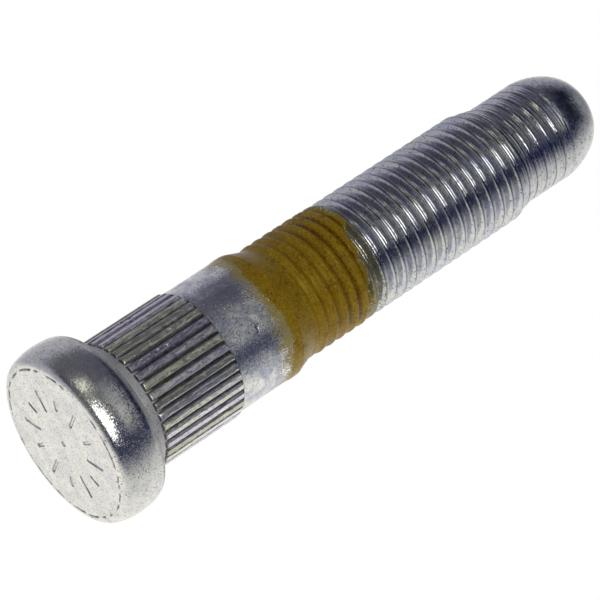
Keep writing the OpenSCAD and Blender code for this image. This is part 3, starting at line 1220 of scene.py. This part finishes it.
@dataclass
class RolledThread:
    """Right-hand thread with its run-out, step and tip section, laid on a strip by a node tree."""

    sizes: StudSizes
    columns: int = 108
    rows: int = 30
    spare_turns: float = 2.0
    crowding: float = 0.45
    # Width of the painted shade along the crest seam, and the noise that breaks it up.
    seam_shade_w: tuple[float, float] = (0.05, 0.012)
    seam_shade_scale: float = 1.3
    seam_shade_breaks: tuple[float, float] = (0.36, 0.52)
    seam_shade_left: float = 0.25
    section: tuple[tuple[float, float], ...] = (
        (0.0, 0.90), (0.04, 0.92), (0.09, 0.97), (0.113, 1.0), (0.13, 0.97), (0.16, 0.89), (0.30, 0.45),
        (0.42, 0.06), (0.46, 0.0), (0.54, 0.0), (0.58, 0.06), (0.70, 0.45), (0.84, 0.89), (0.868, 0.97),
        (0.886, 1.0), (0.91, 0.97), (0.96, 0.91), (1.0, 0.90),
    )
    tip_section: tuple[tuple[float, float], ...] = (
        (0.0, 0.57), (0.12, 0.83), (0.17, 0.87), (0.24, 0.76), (0.30, 0.72), (0.38, 0.83), (0.45, 0.93),
        (0.49, 0.94), (0.56, 0.84), (0.61, 0.82), (0.67, 0.91), (0.73, 1.0), (0.76, 0.98), (0.80, 0.45),
        (0.83, 0.30), (0.86, 0.31), (0.93, 0.44), (1.0, 0.57),
    )

    def tree(self) -> bpy.types.NodeTree:
        """Build the node tree that winds a flat strip into the threaded rod."""
        s = self.sizes
        turns = s.rod_len / s.pitch + self.spare_turns
        group = new_group("thread_rod", "GeometryNodeTree", [
            ("Geometry", "INPUT", "NodeSocketGeometry", None),
            ("Pitch", "INPUT", "NodeSocketFloat", 1.5 * MM),
            ("Length", "INPUT", "NodeSocketFloat", 40.0 * MM),
            ("Start Height", "INPUT", "NodeSocketFloat", 0.0),
            ("Columns", "INPUT", "NodeSocketInt", 64),
            ("Rows", "INPUT", "NodeSocketInt", 12),
            ("Material", "INPUT", "NodeSocketMaterial", None),
            ("Geometry", "OUTPUT", "NodeSocketGeometry", None),
        ])
        board = Board(group)
        source = board.add("NodeGroupInput").outputs
        whole = math.ceil(turns)
        strip = board.add("GeometryNodeMeshGrid", {
            "Size X": 1.0, "Size Y": 1.0,
            "Vertices X": board.sum("MULTIPLY_ADD", source["Columns"], float(whole), 1.0),
            "Vertices Y": board.sum("ADD", source["Rows"], 1.0),
        }).outputs[0]
        split = board.split(board.add("GeometryNodeInputPosition").outputs[0])
        turn = board.sum("MULTIPLY", board.sum("ADD", split["X"], 0.5), float(whole))
        even = board.sum("ADD", split["Y"], 0.5)
        bend = board.sum("SINE", board.sum("MULTIPLY", even, 2.0 * math.pi))
        phase = board.sum("MULTIPLY_ADD", bend, -self.crowding / (2.0 * math.pi), even)
        lead = board.sum("ADD", board.sum("ADD", turn, phase), s.crest_middle - self.spare_turns)
        height = board.sum("MAXIMUM", board.sum("MULTIPLY", lead, source["Pitch"]), 0.0)
        height = board.sum("MINIMUM", height, source["Length"])
        full = s.thread_to - s.thread_from
        reduced = board.range(height, full * MM, (full + s.step_len) * MM)
        whole_form = self._section(board, phase, self.section)
        tip_form = self._section(board, phase, self.tip_section)
        form = board.add("ShaderNodeMix", {0: reduced, 2: whole_form, 3: tip_form}).outputs[0]
        crest = self._along(board, height, s.crest_at)
        root = self._along(board, height, s.root_at)
        radius = board.sum("MULTIPLY_ADD", form, board.sum("SUBTRACT", crest, root), root)
        angle = board.sum("MULTIPLY", turn, 2.0 * math.pi)
        # Painted shade: a broken dark line along the seam in the middle of each crest.
        off_crest = board.sum("MINIMUM", phase, board.sum("SUBTRACT", 1.0, phase))
        along = board.joined(board.sum("MULTIPLY", angle, NOISE_R), phase)
        waves = board.noise(along, self.seam_shade_scale, detail=3.0, roughness=0.7)
        broken = board.range(waves, *self.seam_shade_breaks, start=self.seam_shade_left)
        painted_shade_and_tone = board.sum("MULTIPLY", board.range(off_crest, *self.seam_shade_w), broken)
        strip = board.stored(strip, PAINTED_SHADE_AND_TONE, painted_shade_and_tone)
        target = board.joined(
            board.sum("MULTIPLY", radius, board.sum("COSINE", angle)),
            board.sum("MULTIPLY", radius, board.sum("SINE", angle)),
            board.sum("ADD", height, source["Start Height"]),
        )
        wound = board.add("GeometryNodeSetPosition", {"Geometry": strip, "Position": target}).outputs[0]
        finish_tree(board, wound, source["Material"])
        return group

    @staticmethod
    def _section(board: Board, phase: bpy.types.NodeSocket,
                 points: tuple[tuple[float, float], ...]) -> bpy.types.NodeSocket:
        """Add a float curve that holds one section of the thread.

        Args:
            board: Board of the tree.
            phase: Place across one turn, from 0 to 1.
            points: Points of the section as phase and share of the depth.

        Returns:
            The share of the depth.
        """
        node = board.add("ShaderNodeFloatCurve", {"Value": phase})
        curve = node.mapping.curves[0]
        curve.points[0].location, curve.points[1].location = points[0], points[-1]
        for point in points[1:-1]:
            curve.points.new(*point)
        for point in curve.points:
            point.handle_type = "AUTO_CLAMPED"
        node.mapping.update()
        return node.outputs[0]

    def _along(self, board: Board, height: bpy.types.NodeSocket,
               rule: Callable[[np.ndarray], np.ndarray]) -> bpy.types.NodeSocket:
        """Add a float curve that follows a rule of height along the rod.

        Args:
            board: Board of the tree.
            height: Height above the start of the thread, in metres.
            rule: Radius in millimetres at heights in millimetres.

        Returns:
            The radius in metres.
        """
        s = self.sizes
        full = s.thread_to - s.thread_from
        corners = sorted({0.0, s.run_out / 2, s.run_out, full, full + s.step_len,
                          s.rod_len - s.run_out, s.rod_len})
        reach = s.knurl_r
        node = board.add("ShaderNodeFloatCurve", {
            "Value": board.sum("DIVIDE", height, s.rod_len * MM),
        })
        curve = node.mapping.curves[0]
        values = rule(np.array(corners)) / reach
        curve.points[0].location = (0.0, values[0])
        curve.points[1].location = (1.0, values[-1])
        for h, value in list(zip(corners, values))[1:-1]:
            curve.points.new(h / s.rod_len, value)
        for point in curve.points:
            point.handle_type = "VECTOR"
        node.mapping.update()
        return board.sum("MULTIPLY", node.outputs[0], reach * MM)

    def build(self, material: bpy.types.Material) -> bpy.types.Object:
        """Make the threaded rod and close its ends.

        Args:
            material: Finish of the thread.

        Returns:
            The rod as a plain mesh.
        """
        s = self.sizes
        piece = mesh_object("stud_thread", np.zeros((1, 3)), [])
        grown(piece, self.tree(), {
            "Pitch": s.pitch * MM, "Length": s.rod_len * MM, "Start Height": s.thread_from * MM,
            "Columns": self.columns, "Rows": self.rows, "Material": material,
        })
        close_ends(piece)
        return piece


def close_ends(piece: bpy.types.Object) -> None:
    """Drop flat leftovers of a wound strip, fill its two round ends and turn its faces outwards."""
    work = bmesh.new()
    work.from_mesh(piece.data)
    bmesh.ops.remove_doubles(work, verts=work.verts, dist=1e-7)
    bmesh.ops.dissolve_degenerate(work, edges=work.edges, dist=1e-7)
    edges = [e for e in work.edges if e.is_boundary]
    bmesh.ops.holes_fill(work, edges=edges, sides=0)
    bmesh.ops.recalc_face_normals(work, faces=work.faces)
    work.to_mesh(piece.data)
    work.free()


@dataclass
class DomedEnd:
    """Plain land and blunt domed end."""

    sizes: StudSizes
    columns: int = 160
    blunt_r: float = 3.0
    crown_h: float = 0.25
    ridge_h: float = 0.09
    power: float = 1.7
    proud: float = 0.01
    end_rim: float = 0.4
    row_pitch: float = 0.1
    side_rows: int = 40
    crown_rows: int = 12

    def build(self) -> bpy.types.Object:
        """Make the mesh."""
        s = self.sizes
        dome_from = s.land_from + s.land_len
        rise = s.length - dome_from - self.crown_h
        dome_r = s.tip_r + self.proud
        inner, outer = s.tip_r - self.end_rim, s.tip_r - self.ridge_h
        points: Outline = [(0.0, s.land_from), (inner, s.land_from), (outer, s.land_from)]
        points += straight(points[-1], (dome_r, dome_from), self.row_pitch)
        side = quarter((0.0, 0.0), 1.0, 1.0, 0, 90, self.side_rows)[1:-1]
        widen, power = dome_r - self.blunt_r, 2 / self.power
        points += [(self.blunt_r + widen * c ** power, dome_from + rise * h ** power) for c, h in side]
        edge = points[-1]
        for k in range(1, self.crown_rows):
            u = k / self.crown_rows
            points.append((edge[0] * (1 - u), s.length - (s.length - edge[1]) * (1 - u) ** 2))
        points.append((0.0, s.length))
        return turned("stud_tip", points, self.columns)


@dataclass
class LockingPatch:
    """Skin of dried compound, with softened turns, pits and ragged edges."""

    sizes: StudSizes
    columns: int = 320
    row_pitch: float = 0.075
    inside_step: int = 2
    coat: float = 0.07
    over_crest: float = 0.11
    in_root: float = 0.42
    crest_power: float = 1.15
    blend: float = 0.06
    edge_t: float = 0.012
    under: float = 0.03
    low_wave: float = 0.38
    low_turn: float = -38.0
    high_step: float = 1.32
    high_turn: float = 80.0
    high_reach: tuple[float, float] = (80.0, 62.0)
    ragged: tuple[tuple[float, float], ...] = ((0.30, 0.35), (0.16, 1.4), (0.07, 4.0))
    lumps: tuple[tuple[float, float, float], ...] = ((0.03, 0.7, 0.5), (0.02, 2.2, 1.6))
    pit_depth: float = 0.10
    pit_scale: float = 2.6
    pit_edge: tuple[float, float] = (0.30, 0.52)
    pits_from: tuple[float, float] = (4.0, 9.0)
    worn_len: float = 0.8
    edge_room: float = 0.1
    edge_stop: float = 0.02
    past_box: float = 0.1
    valley_wave: tuple[float, float] = (0.05, 0.75)

    def steel(self, height: np.ndarray, angle: np.ndarray) -> np.ndarray:
        """Radius of the steel under the compound.

        Args:
            height: Heights in millimetres from the head's face.
            angle: Angles round the stud.

        Returns:
            The radii.
        """
        s = self.sizes
        h = height - s.thread_from
        section = np.interp(self.phase(height, angle), *zip(*RolledThread.section))
        thread = s.root_at(h) + (s.crest_at(h) - s.root_at(h)) * section
        taper = ramp(height, s.shank_to, s.thread_from, s.shank_r, s.taper_end_r)
        return np.where(h > 0.0, thread, taper)

    def phase(self, height: np.ndarray, angle: np.ndarray) -> np.ndarray:
        """Place across one turn of the thread, from 0 to 1."""
        s = self.sizes
        return ((height - s.thread_from) / s.pitch - angle / (2.0 * math.pi) - s.crest_middle) % 1.0

    def skin(self, height: np.ndarray, angle: np.ndarray) -> np.ndarray:
        """Radius of the outside of the compound where it is at its full thickness.

        Args:
            height: Heights in millimetres from the head's face.
            angle: Angles round the stud.

        Returns:
            The radii.
        """
        s = self.sizes
        h = height - s.thread_from
        wave = np.abs(1.0 - 2.0 * self.phase(height, angle)) ** self.crest_power
        low = s.root_at(h) + ramp(h, 0.0, s.run_out, self.coat, self.in_root)
        high = s.crest_at(h) + self.over_crest
        fill = np.where(h > 0.0, low + (high - low) * wave, 0.0)
        coated = self.steel(height, angle) + self.coat
        return 0.5 * (fill + coated + np.sqrt((fill - coated) ** 2 + self.blend ** 2 * (h > 0.0)))

    def edges(self, angles: np.ndarray) -> tuple[np.ndarray, np.ndarray]:
        """Heights of the ragged low and high edges at angles round the stud."""
        s = self.sizes
        ring = np.column_stack([np.cos(angles), np.sin(angles), np.zeros_like(angles)]) * s.shank_r
        ragged = [
            sum(reach * rough(ring, (scale,) * 3, seed + k) for k, (reach, scale) in enumerate(self.ragged))
            for seed in (11, 21)
        ]
        wave = self.low_wave * (1.0 + np.cos(4.0 * (angles + math.radians(self.low_turn))))
        low = np.maximum(s.patch_from + self.edge_room + wave + ragged[0], s.patch_from + self.edge_stop)
        start, end = (math.cos(math.radians(reach)) for reach in self.high_reach)
        far = smooth_step(np.cos(angles + math.radians(self.high_turn)), start, end)
        high = s.patch_to - self.edge_room - self.high_step * (1.0 - far) + ragged[1]
        return low, np.minimum(high, s.patch_to - self.edge_stop)

    def build(self) -> bpy.types.Object:
        """Make the skin as a closed shell on the steel."""
        s = self.sizes
        angles = np.linspace(0.0, 2.0 * math.pi, self.columns, endpoint=False)
        low, high = self.edges(angles)
        rows = self.inside_step * math.ceil((s.patch_to - s.patch_from) / self.row_pitch / self.inside_step)
        share = np.linspace(0.0, 1.0, rows + 1)[:, None]
        height = low[None, :] + (high - low)[None, :] * share
        angle = np.broadcast_to(angles, height.shape)
        steel = self.steel(height, angle)
        flat = np.stack([NOISE_R * np.cos(angle), NOISE_R * np.sin(angle), height], axis=-1).reshape(-1, 3)
        lumps = sum(reach * rough(flat, (round_it, round_it, along), 15 + k)
                    for k, (reach, round_it, along) in enumerate(self.lumps))
        pits = smooth_step(rough(flat, (self.pit_scale,) * 3, 17), *self.pit_edge)
        late = smooth_step(flat[:, 2], *(s.thread_from + start for start in self.pits_from))
        lift = (lumps - self.pit_depth * pits * late).reshape(height.shape)
        room = np.minimum(height - low[None, :], high[None, :] - height)
        full = smooth_step(room, 0.0, self.worn_len)
        thickness = np.maximum(self.skin(height, angle) - steel + lift, self.edge_t)
        outer = steel + self.edge_t + (thickness - self.edge_t) * full
        outer = np.minimum(outer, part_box(Node.PATCH.value)[1].x / MM + self.past_box)
        inner = np.minimum(steel, outer) - self.under
        piece = self.shell(angle, height, outer, inner)
        worn = np.zeros(len(piece.data.vertices))
        worn[:full.size] = 1.0 - full.ravel()
        store(piece, EDGE_SHARE, worn)
        points = points_in_mm(piece)
        wave = np.abs(1.0 - 2.0 * self.phase(points[:, 2], np.arctan2(points[:, 1], points[:, 0])))
        store(piece, VALLEY, (1.0 - smooth_step(wave, *self.valley_wave)) * (points[:, 2] > s.thread_from))
        return piece

    def shell(self, angle: np.ndarray, height: np.ndarray, outer: np.ndarray, inner: np.ndarray
              ) -> bpy.types.Object:
        """Join the outside and a coarser inside into one closed mesh.

        Args:
            angle: Angle of each grid point.
            height: Height of each grid point.
            outer: Radius of the outside.
            inner: Radius of the inside.

        Returns:
            The piece.
        """
        step = self.inside_step
        sides, starts, shapes = [], [], []
        for radius, pick in ((outer, slice(None)), (inner, slice(None, None, step))):
            r, a, z = (grid[pick, pick] for grid in (radius, angle, height))
            starts.append(sum(len(side) for side in sides))
            shapes.append(r.shape)
            sides.append(np.stack([r * np.cos(a), r * np.sin(a), z], axis=-1).reshape(-1, 3))
        faces: list[tuple[int, ...]] = []
        for start, (rows, columns), outward in zip(starts, shapes, (True, False)):
            for row in range(rows - 1):
                for c in range(columns):
                    d = (c + 1) % columns
                    a, b = start + row * columns, start + (row + 1) * columns
                    face = (a + c, a + d, b + d, b + c)
                    faces.append(face if outward else face[::-1])
        columns, inside = shapes[0][1], shapes[1][1]
        for row, inside_row, first in ((0, 0, True), (shapes[0][0] - 1, shapes[1][0] - 1, False)):
            for c in range(inside):
                rim = [row * columns + (c * step + k) % columns for k in range(step + 1)]
                under = [starts[1] + inside_row * inside + k % inside for k in (c + 1, c)]
                face = tuple(rim + under)
                faces.append(face[::-1] if first else face)
        return mesh_object("patch_skin", np.vstack(sides), faces)


@dataclass(frozen=True)
class SoftPanel:
    """One soft field of light or shade in the studio, as the stud sees it.

    Azimuth 0 points to the camera's side and 90 to the photo's lower right, and the height is an angle
    towards the tip. Each pair of half-widths in degrees says where the field is full and where it has
    faded out.
    """

    azimuth: float
    wide: tuple[float, float]
    height: float
    high: tuple[float, float]
    colour: Colour

    def share(self, board: Board, towards: list[bpy.types.NodeSocket]) -> bpy.types.NodeSocket:
        """Add the nodes that say how much of the field a direction sees.

        Args:
            board: Board of the world's tree.
            towards: Shares of the direction to the front, to the side and flat, and its height in degrees.

        Returns:
            The share from 0 to 1.
        """
        front, side, flat, height = towards
        off = board.sum("ABSOLUTE", board.sum("SUBTRACT", height, self.height))
        share = board.range(off, self.high[1], self.high[0])
        if self.wide == ALL_ROUND:
            return share
        a = math.radians(self.azimuth)
        cosine = board.sum("DIVIDE", board.sum(
            "MULTIPLY_ADD", front, math.cos(a), board.sum("MULTIPLY", side, math.sin(a))), flat)
        inner, outer = (math.cos(math.radians(w)) for w in self.wide)
        return board.sum("MULTIPLY", share, board.range(cosine, outer, inner))


@dataclass(frozen=True)
class SoftLamp:
    """One soft oval lamp that faces the middle of the stud.

    Its direction is given as shares towards the camera's side, the photo's lower right and the tip, and
    its size as the width across and along the stud.
    """

    name: str
    towards: tuple[float, float, float]
    size: tuple[float, float]
    radiance: float
    colour: Colour


@dataclass
class Studio:
    """Camera, floor, world and lamps."""

    sizes: StudSizes
    tilt: float = 62.0
    roll: float = 33.53
    distance: float = 399.7
    focal_px: float = 3667.0
    image_px: float = 600.0
    sensor: float = 36.0
    aim_height: float = 32.86
    shift_right: float = -0.599
    shift_up: float = 0.908
    floor_half: float = 600.0
    floor_drop: float = 0.2
    clip: tuple[float, float] = (10.0, 5000.0)
    paint: Colour = (0.92, 0.92, 0.92)
    lamp_away: float = 420.0
    lamps: tuple[SoftLamp, ...] = (
        SoftLamp("key_lamp", (1.0, 0.08, -0.38), (290.0, 180.0), 3.7, (1.0, 1.0, 0.97)),
        SoftLamp("side_lamp", (0.73, -0.68, -0.13), (130.0, 150.0), 0.9, (1.0, 1.0, 0.78)),
    )
    ground: Colour = (0.011, 0.016, 0.058)
    panels: tuple[SoftPanel, ...] = (
        SoftPanel(0.0, ALL_ROUND, -90.0, (20.0, 45.0), (0.17, 0.175, 0.17)),
        SoftPanel(125.0, (25.0, 78.0), -8.0, (42.0, 112.0), (0.70, 0.70, 0.67)),
        SoftPanel(-146.0, (24.0, 74.0), -5.0, (50.0, 100.0), (0.42, 0.42, 0.47)),
        SoftPanel(158.0, (20.0, 65.0), -8.0, (48.0, 80.0), (0.93, 0.92, 0.87)),
        SoftPanel(0.0, ALL_ROUND, 90.0, (9.0, 18.0), (0.31, 0.32, 0.34)),
        SoftPanel(-32.0, (22.0, 46.0), -22.0, (28.0, 40.0), (0.13, 0.13, 0.13)),
        SoftPanel(-70.0, (14.0, 38.0), 16.0, (16.0, 40.0), (0.10, 0.10, 0.125)),
        SoftPanel(-2.0, (12.0, 42.0), 25.0, (6.0, 11.0), (0.43, 0.435, 0.42)),
        SoftPanel(-25.0, (45.0, 75.0), 62.0, (9.0, 17.0), (0.006, 0.008, 0.016)),
    )

    def camera(self) -> bpy.types.Object:
        """Place the camera at the photo's viewing angle."""
        front, side, tip = photo_axes()
        tilt, roll = math.radians(self.tilt), math.radians(self.roll)
        forward = tip * math.cos(tilt) - front * math.sin(tilt)
        along = tip * math.sin(tilt) + front * math.cos(tilt)
        right = along * math.cos(roll) + side * math.sin(roll)
        up = along * math.sin(roll) - side * math.cos(roll)
        aim = Vector((0.0, 0.0, self.aim_height))
        place = aim - forward * self.distance - right * self.shift_right - up * self.shift_up
        data = bpy.data.cameras.new("photo_camera")
        data.sensor_width = self.sensor
        data.lens = self.sensor * self.focal_px / self.image_px
        data.clip_start, data.clip_end = (reach * MM for reach in self.clip)
        camera = bpy.data.objects.new("photo_camera", data)
        turn = Matrix((right, up, -forward)).transposed().to_4x4()
        camera.matrix_world = Matrix.Translation(place * MM) @ turn
        bpy.context.scene.collection.objects.link(camera)
        bpy.context.scene.camera = camera
        return camera

    def floor(self) -> bpy.types.Object:
        """Make the pale floor, which only a camera above it sees."""
        h = self.floor_half
        z = -self.floor_drop
        corners = np.array([(-h, -h, z), (h, -h, z), (h, h, z), (-h, h, z)])
        plane = mesh_object("floor", corners, [(0, 1, 2, 3)])
        material = bpy.data.materials.new("floor_paint")
        material.use_nodes = True
        material.node_tree.nodes.clear()
        board = Board(material.node_tree)
        paint = board.add("ShaderNodeBsdfDiffuse", {"Color": rgba(self.paint)})
        clear = board.add("ShaderNodeBsdfTransparent")
        behind = board.add("ShaderNodeNewGeometry").outputs["Backfacing"]
        seen = board.add("ShaderNodeLightPath").outputs["Is Camera Ray"]
        shown = board.sum("MULTIPLY", seen, board.sum("SUBTRACT", 1.0, behind))
        mixed = board.add("ShaderNodeMixShader", {0: shown, 1: clear.outputs[0], 2: paint.outputs[0]})
        board.add("ShaderNodeOutputMaterial", {"Surface": mixed.outputs[0]})
        plane.data.materials.append(material)
        return plane

    def world(self) -> None:
        """Surround the stud with soft light and shade, and show plain white to the camera."""
        world = bpy.data.worlds.new("studio")
        world.use_nodes = True
        world.node_tree.nodes.clear()
        bpy.context.scene.world = world
        board = Board(world.node_tree)
        ray = board.add("ShaderNodeTexCoord").outputs["Generated"]
        front, side, along = (board.vector("DOT_PRODUCT", ray, tuple(axis)) for axis in photo_axes())
        rest = board.sum("SUBTRACT", 1.0, board.sum("MULTIPLY", along, along))
        flat = board.sum("SQRT", board.sum("MAXIMUM", rest, 1e-6))
        height = board.sum("DEGREES", board.sum("ARCSINE", along))
        colour: object = self.ground
        for panel in self.panels:
            colour = board.mix(panel.share(board, [front, side, flat, height]), colour, panel.colour)
        light = board.add("ShaderNodeBackground", {"Color": colour, "Strength": 1.0})
        white = board.add("ShaderNodeBackground", {"Color": (1.0, 1.0, 1.0, 1.0), "Strength": 1.0})
        seen = board.add("ShaderNodeLightPath").outputs["Is Camera Ray"]
        mixed = board.add("ShaderNodeMixShader", {0: seen, 1: light.outputs[0], 2: white.outputs[0]})
        board.add("ShaderNodeOutputWorld", {"Surface": mixed.outputs[0]})

    def hang(self, lamp: SoftLamp) -> bpy.types.Object:
        """Place a lamp.

        Args:
            lamp: What the lamp is and where it shines from.

        Returns:
            The lamp's object.
        """
        shares = (axis * share for axis, share in zip(photo_axes(), lamp.towards))
        direction = sum(shares, Vector()).normalized()
        data = bpy.data.lights.new(lamp.name, "AREA")
        data.shape = "ELLIPSE"
        data.size, data.size_y = (width * MM for width in lamp.size)
        data.energy = lamp.radiance * math.pi * math.pi * data.size * data.size_y / 4.0
        data.color = lamp.colour
        piece = bpy.data.objects.new(lamp.name, data)
        middle = Vector((0.0, 0.0, self.sizes.length / 2))
        turn = direction.to_track_quat("Z", "Y").to_matrix().to_4x4()
        piece.matrix_world = Matrix.Translation((middle + direction * self.lamp_away) * MM) @ turn
        piece.visible_camera = False
        bpy.context.scene.collection.objects.link(piece)
        return piece

    def build(self) -> None:
        """Make the whole studio."""
        self.world()
        self.floor()
        self.camera()
        for lamp in self.lamps:
            self.hang(lamp)
        bpy.context.scene.view_settings.view_transform = "Standard"


def dress(piece: bpy.types.Object, material: bpy.types.Material, node: Node) -> None:
    """Give a piece its finish and tie it to the frame.

    Args:
        piece: The piece.
        material: Its finish.
        node: The solid that it stands for.
    """
    piece.data.materials.clear()
    piece.data.materials.append(material)
    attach(piece, BODY)
    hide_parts(node.value)
    triangles = sum(len(p.vertices) - 2 for p in piece.data.polygons)
    LOG.info("%s: %d triangles", piece.name, triangles)


def plating_finishes(sizes: StudSizes) -> list[ZincPlating]:
    """Give the plating of the head, the shank, the knurl, the thread and the domed end.

    Args:
        sizes: Sizes of the stud, which place the film of compound.

    Returns:
        The finishes, in that order.
    """
    return [
        ZincPlating(
            "head_plating", light=(0.88, 0.87, 0.83), dark=(0.60, 0.61, 0.69), roughness=0.165, grain=5.0,
            pit_share=0.75, bump_height=0.015, facet_size=9.0, facet_lean=0.11, painted_shade_and_tone_share=0.85,
        ),
        ZincPlating(
            "shank_plating", light=(1.0, 1.0, 0.97), dark=(0.33, 0.36, 0.56), roughness=0.22,
            mottle_share=0.65, grain=8.0, grain_share=0.5, facet_size=10.0, facet_lean=0.19,
            painted_shade_and_tone_share=0.85, film_share=0.9, film=(0.42, 0.31, 0.03), film_metal=0.0,
            film_edges=(sizes.patch_from + 0.1, sizes.length), film_fades=(2.5, 1.0),
        ),
        ZincPlating(
            "knurl_plating", light=(1.0, 0.99, 0.99), dark=(0.78, 0.77, 0.84), roughness=0.27,
            grain=8.0, grain_share=0.30, facet_size=8.0, facet_lean=0.30, facet_stretch=0.25,
            tint_share=0.9, painted_shade_and_tone_share=0.9,
        ),
        ZincPlating(
            "thread_plating", light=(0.72, 0.73, 0.73), dark=(0.48, 0.50, 0.68), roughness=0.115,
            grain=5.0, grain_share=0.2, pit_edge=0.555, facet_size=8.0, facet_lean=0.065,
            painted_shade_and_tone_share=0.9, film_share=0.75,
            film_edges=(sizes.patch_from - 5.0, sizes.patch_to - 0.7), film_fades=(1.2, 2.0),
        ),
        ZincPlating(
            "tip_plating", light=(0.72, 0.73, 0.74), dark=(0.54, 0.56, 0.66), roughness=0.16, grain=6.0,
            pit_edge=0.54, facet_size=8.0, facet_lean=0.11,
        ),
    ]


def main() -> None:
    """Build the studio, the stud and its patch in order."""
    logging.basicConfig(level=logging.INFO, format="%(name)s: %(message)s")
    sizes = StudSizes.from_frame(frame["record"])
    effects = PlatingEffects()
    head, shank, knurl, thread, tip = (finish.build(effects) for finish in plating_finishes(sizes))
    Studio(sizes).build()
    blank = ForgedBlank(sizes)
    dress(blank.build_head(), head, Node.STUD)
    dress(blank.build_shank(), shank, Node.STUD)
    dress(RolledKnurl(sizes).build(knurl), knurl, Node.STUD)
    dress(RolledThread(sizes).build(thread), thread, Node.STUD)
    dress(DomedEnd(sizes).build(), tip, Node.STUD)
    dress(LockingPatch(sizes).build(), DriedCompound().build(effects), Node.PATCH)


if __name__ == "__main__":
    main()
